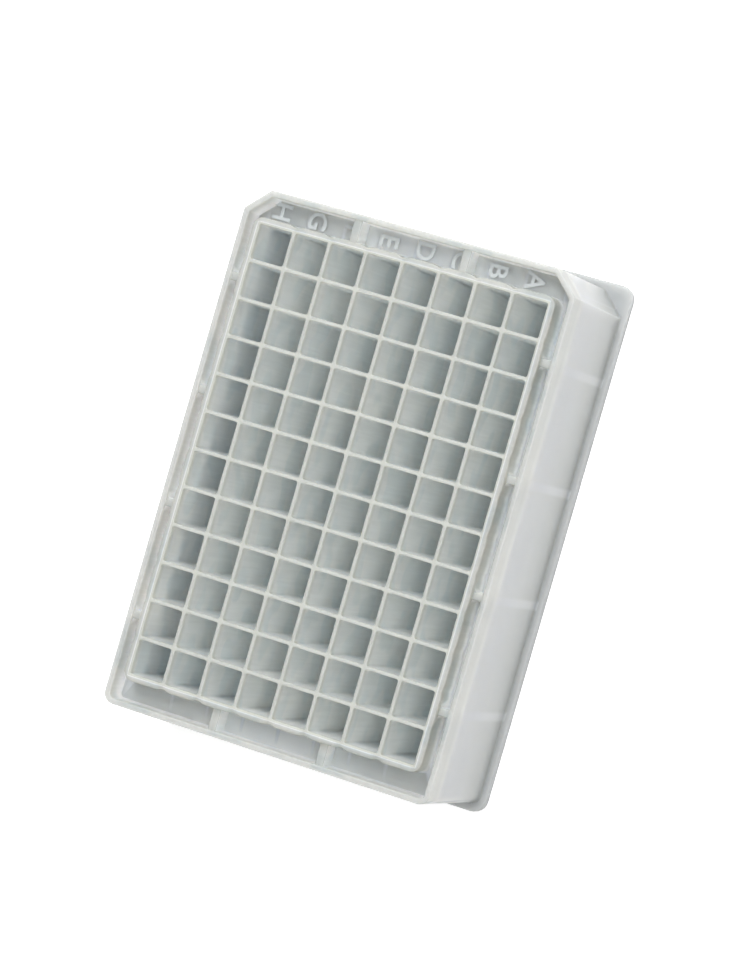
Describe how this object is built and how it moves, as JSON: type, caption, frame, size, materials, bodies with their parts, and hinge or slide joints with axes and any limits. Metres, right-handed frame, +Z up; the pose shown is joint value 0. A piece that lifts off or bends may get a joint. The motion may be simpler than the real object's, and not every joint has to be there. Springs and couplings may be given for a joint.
{
  "type": "well plate",
  "caption": "Tall rectangular lab plate moulded in one piece, with a grid of square deep wells, an outer skirt and rim, and a foot flange for plate holders.",
  "frame": {"origin": "centre of the footprint, on the surface that the plate stands on", "axes": "+X along the rows from column 1 to column 12, +Y towards row A, +Z up"},
  "size_m": [0.1278, 0.0854, 0.044],
  "materials": {
    "polypropylene": "natural translucent polypropylene, milky and slightly glossy"
  },
  "bodies": {
    "root": {"well_plate": "polypropylene"}
  },
  "joints": []
}
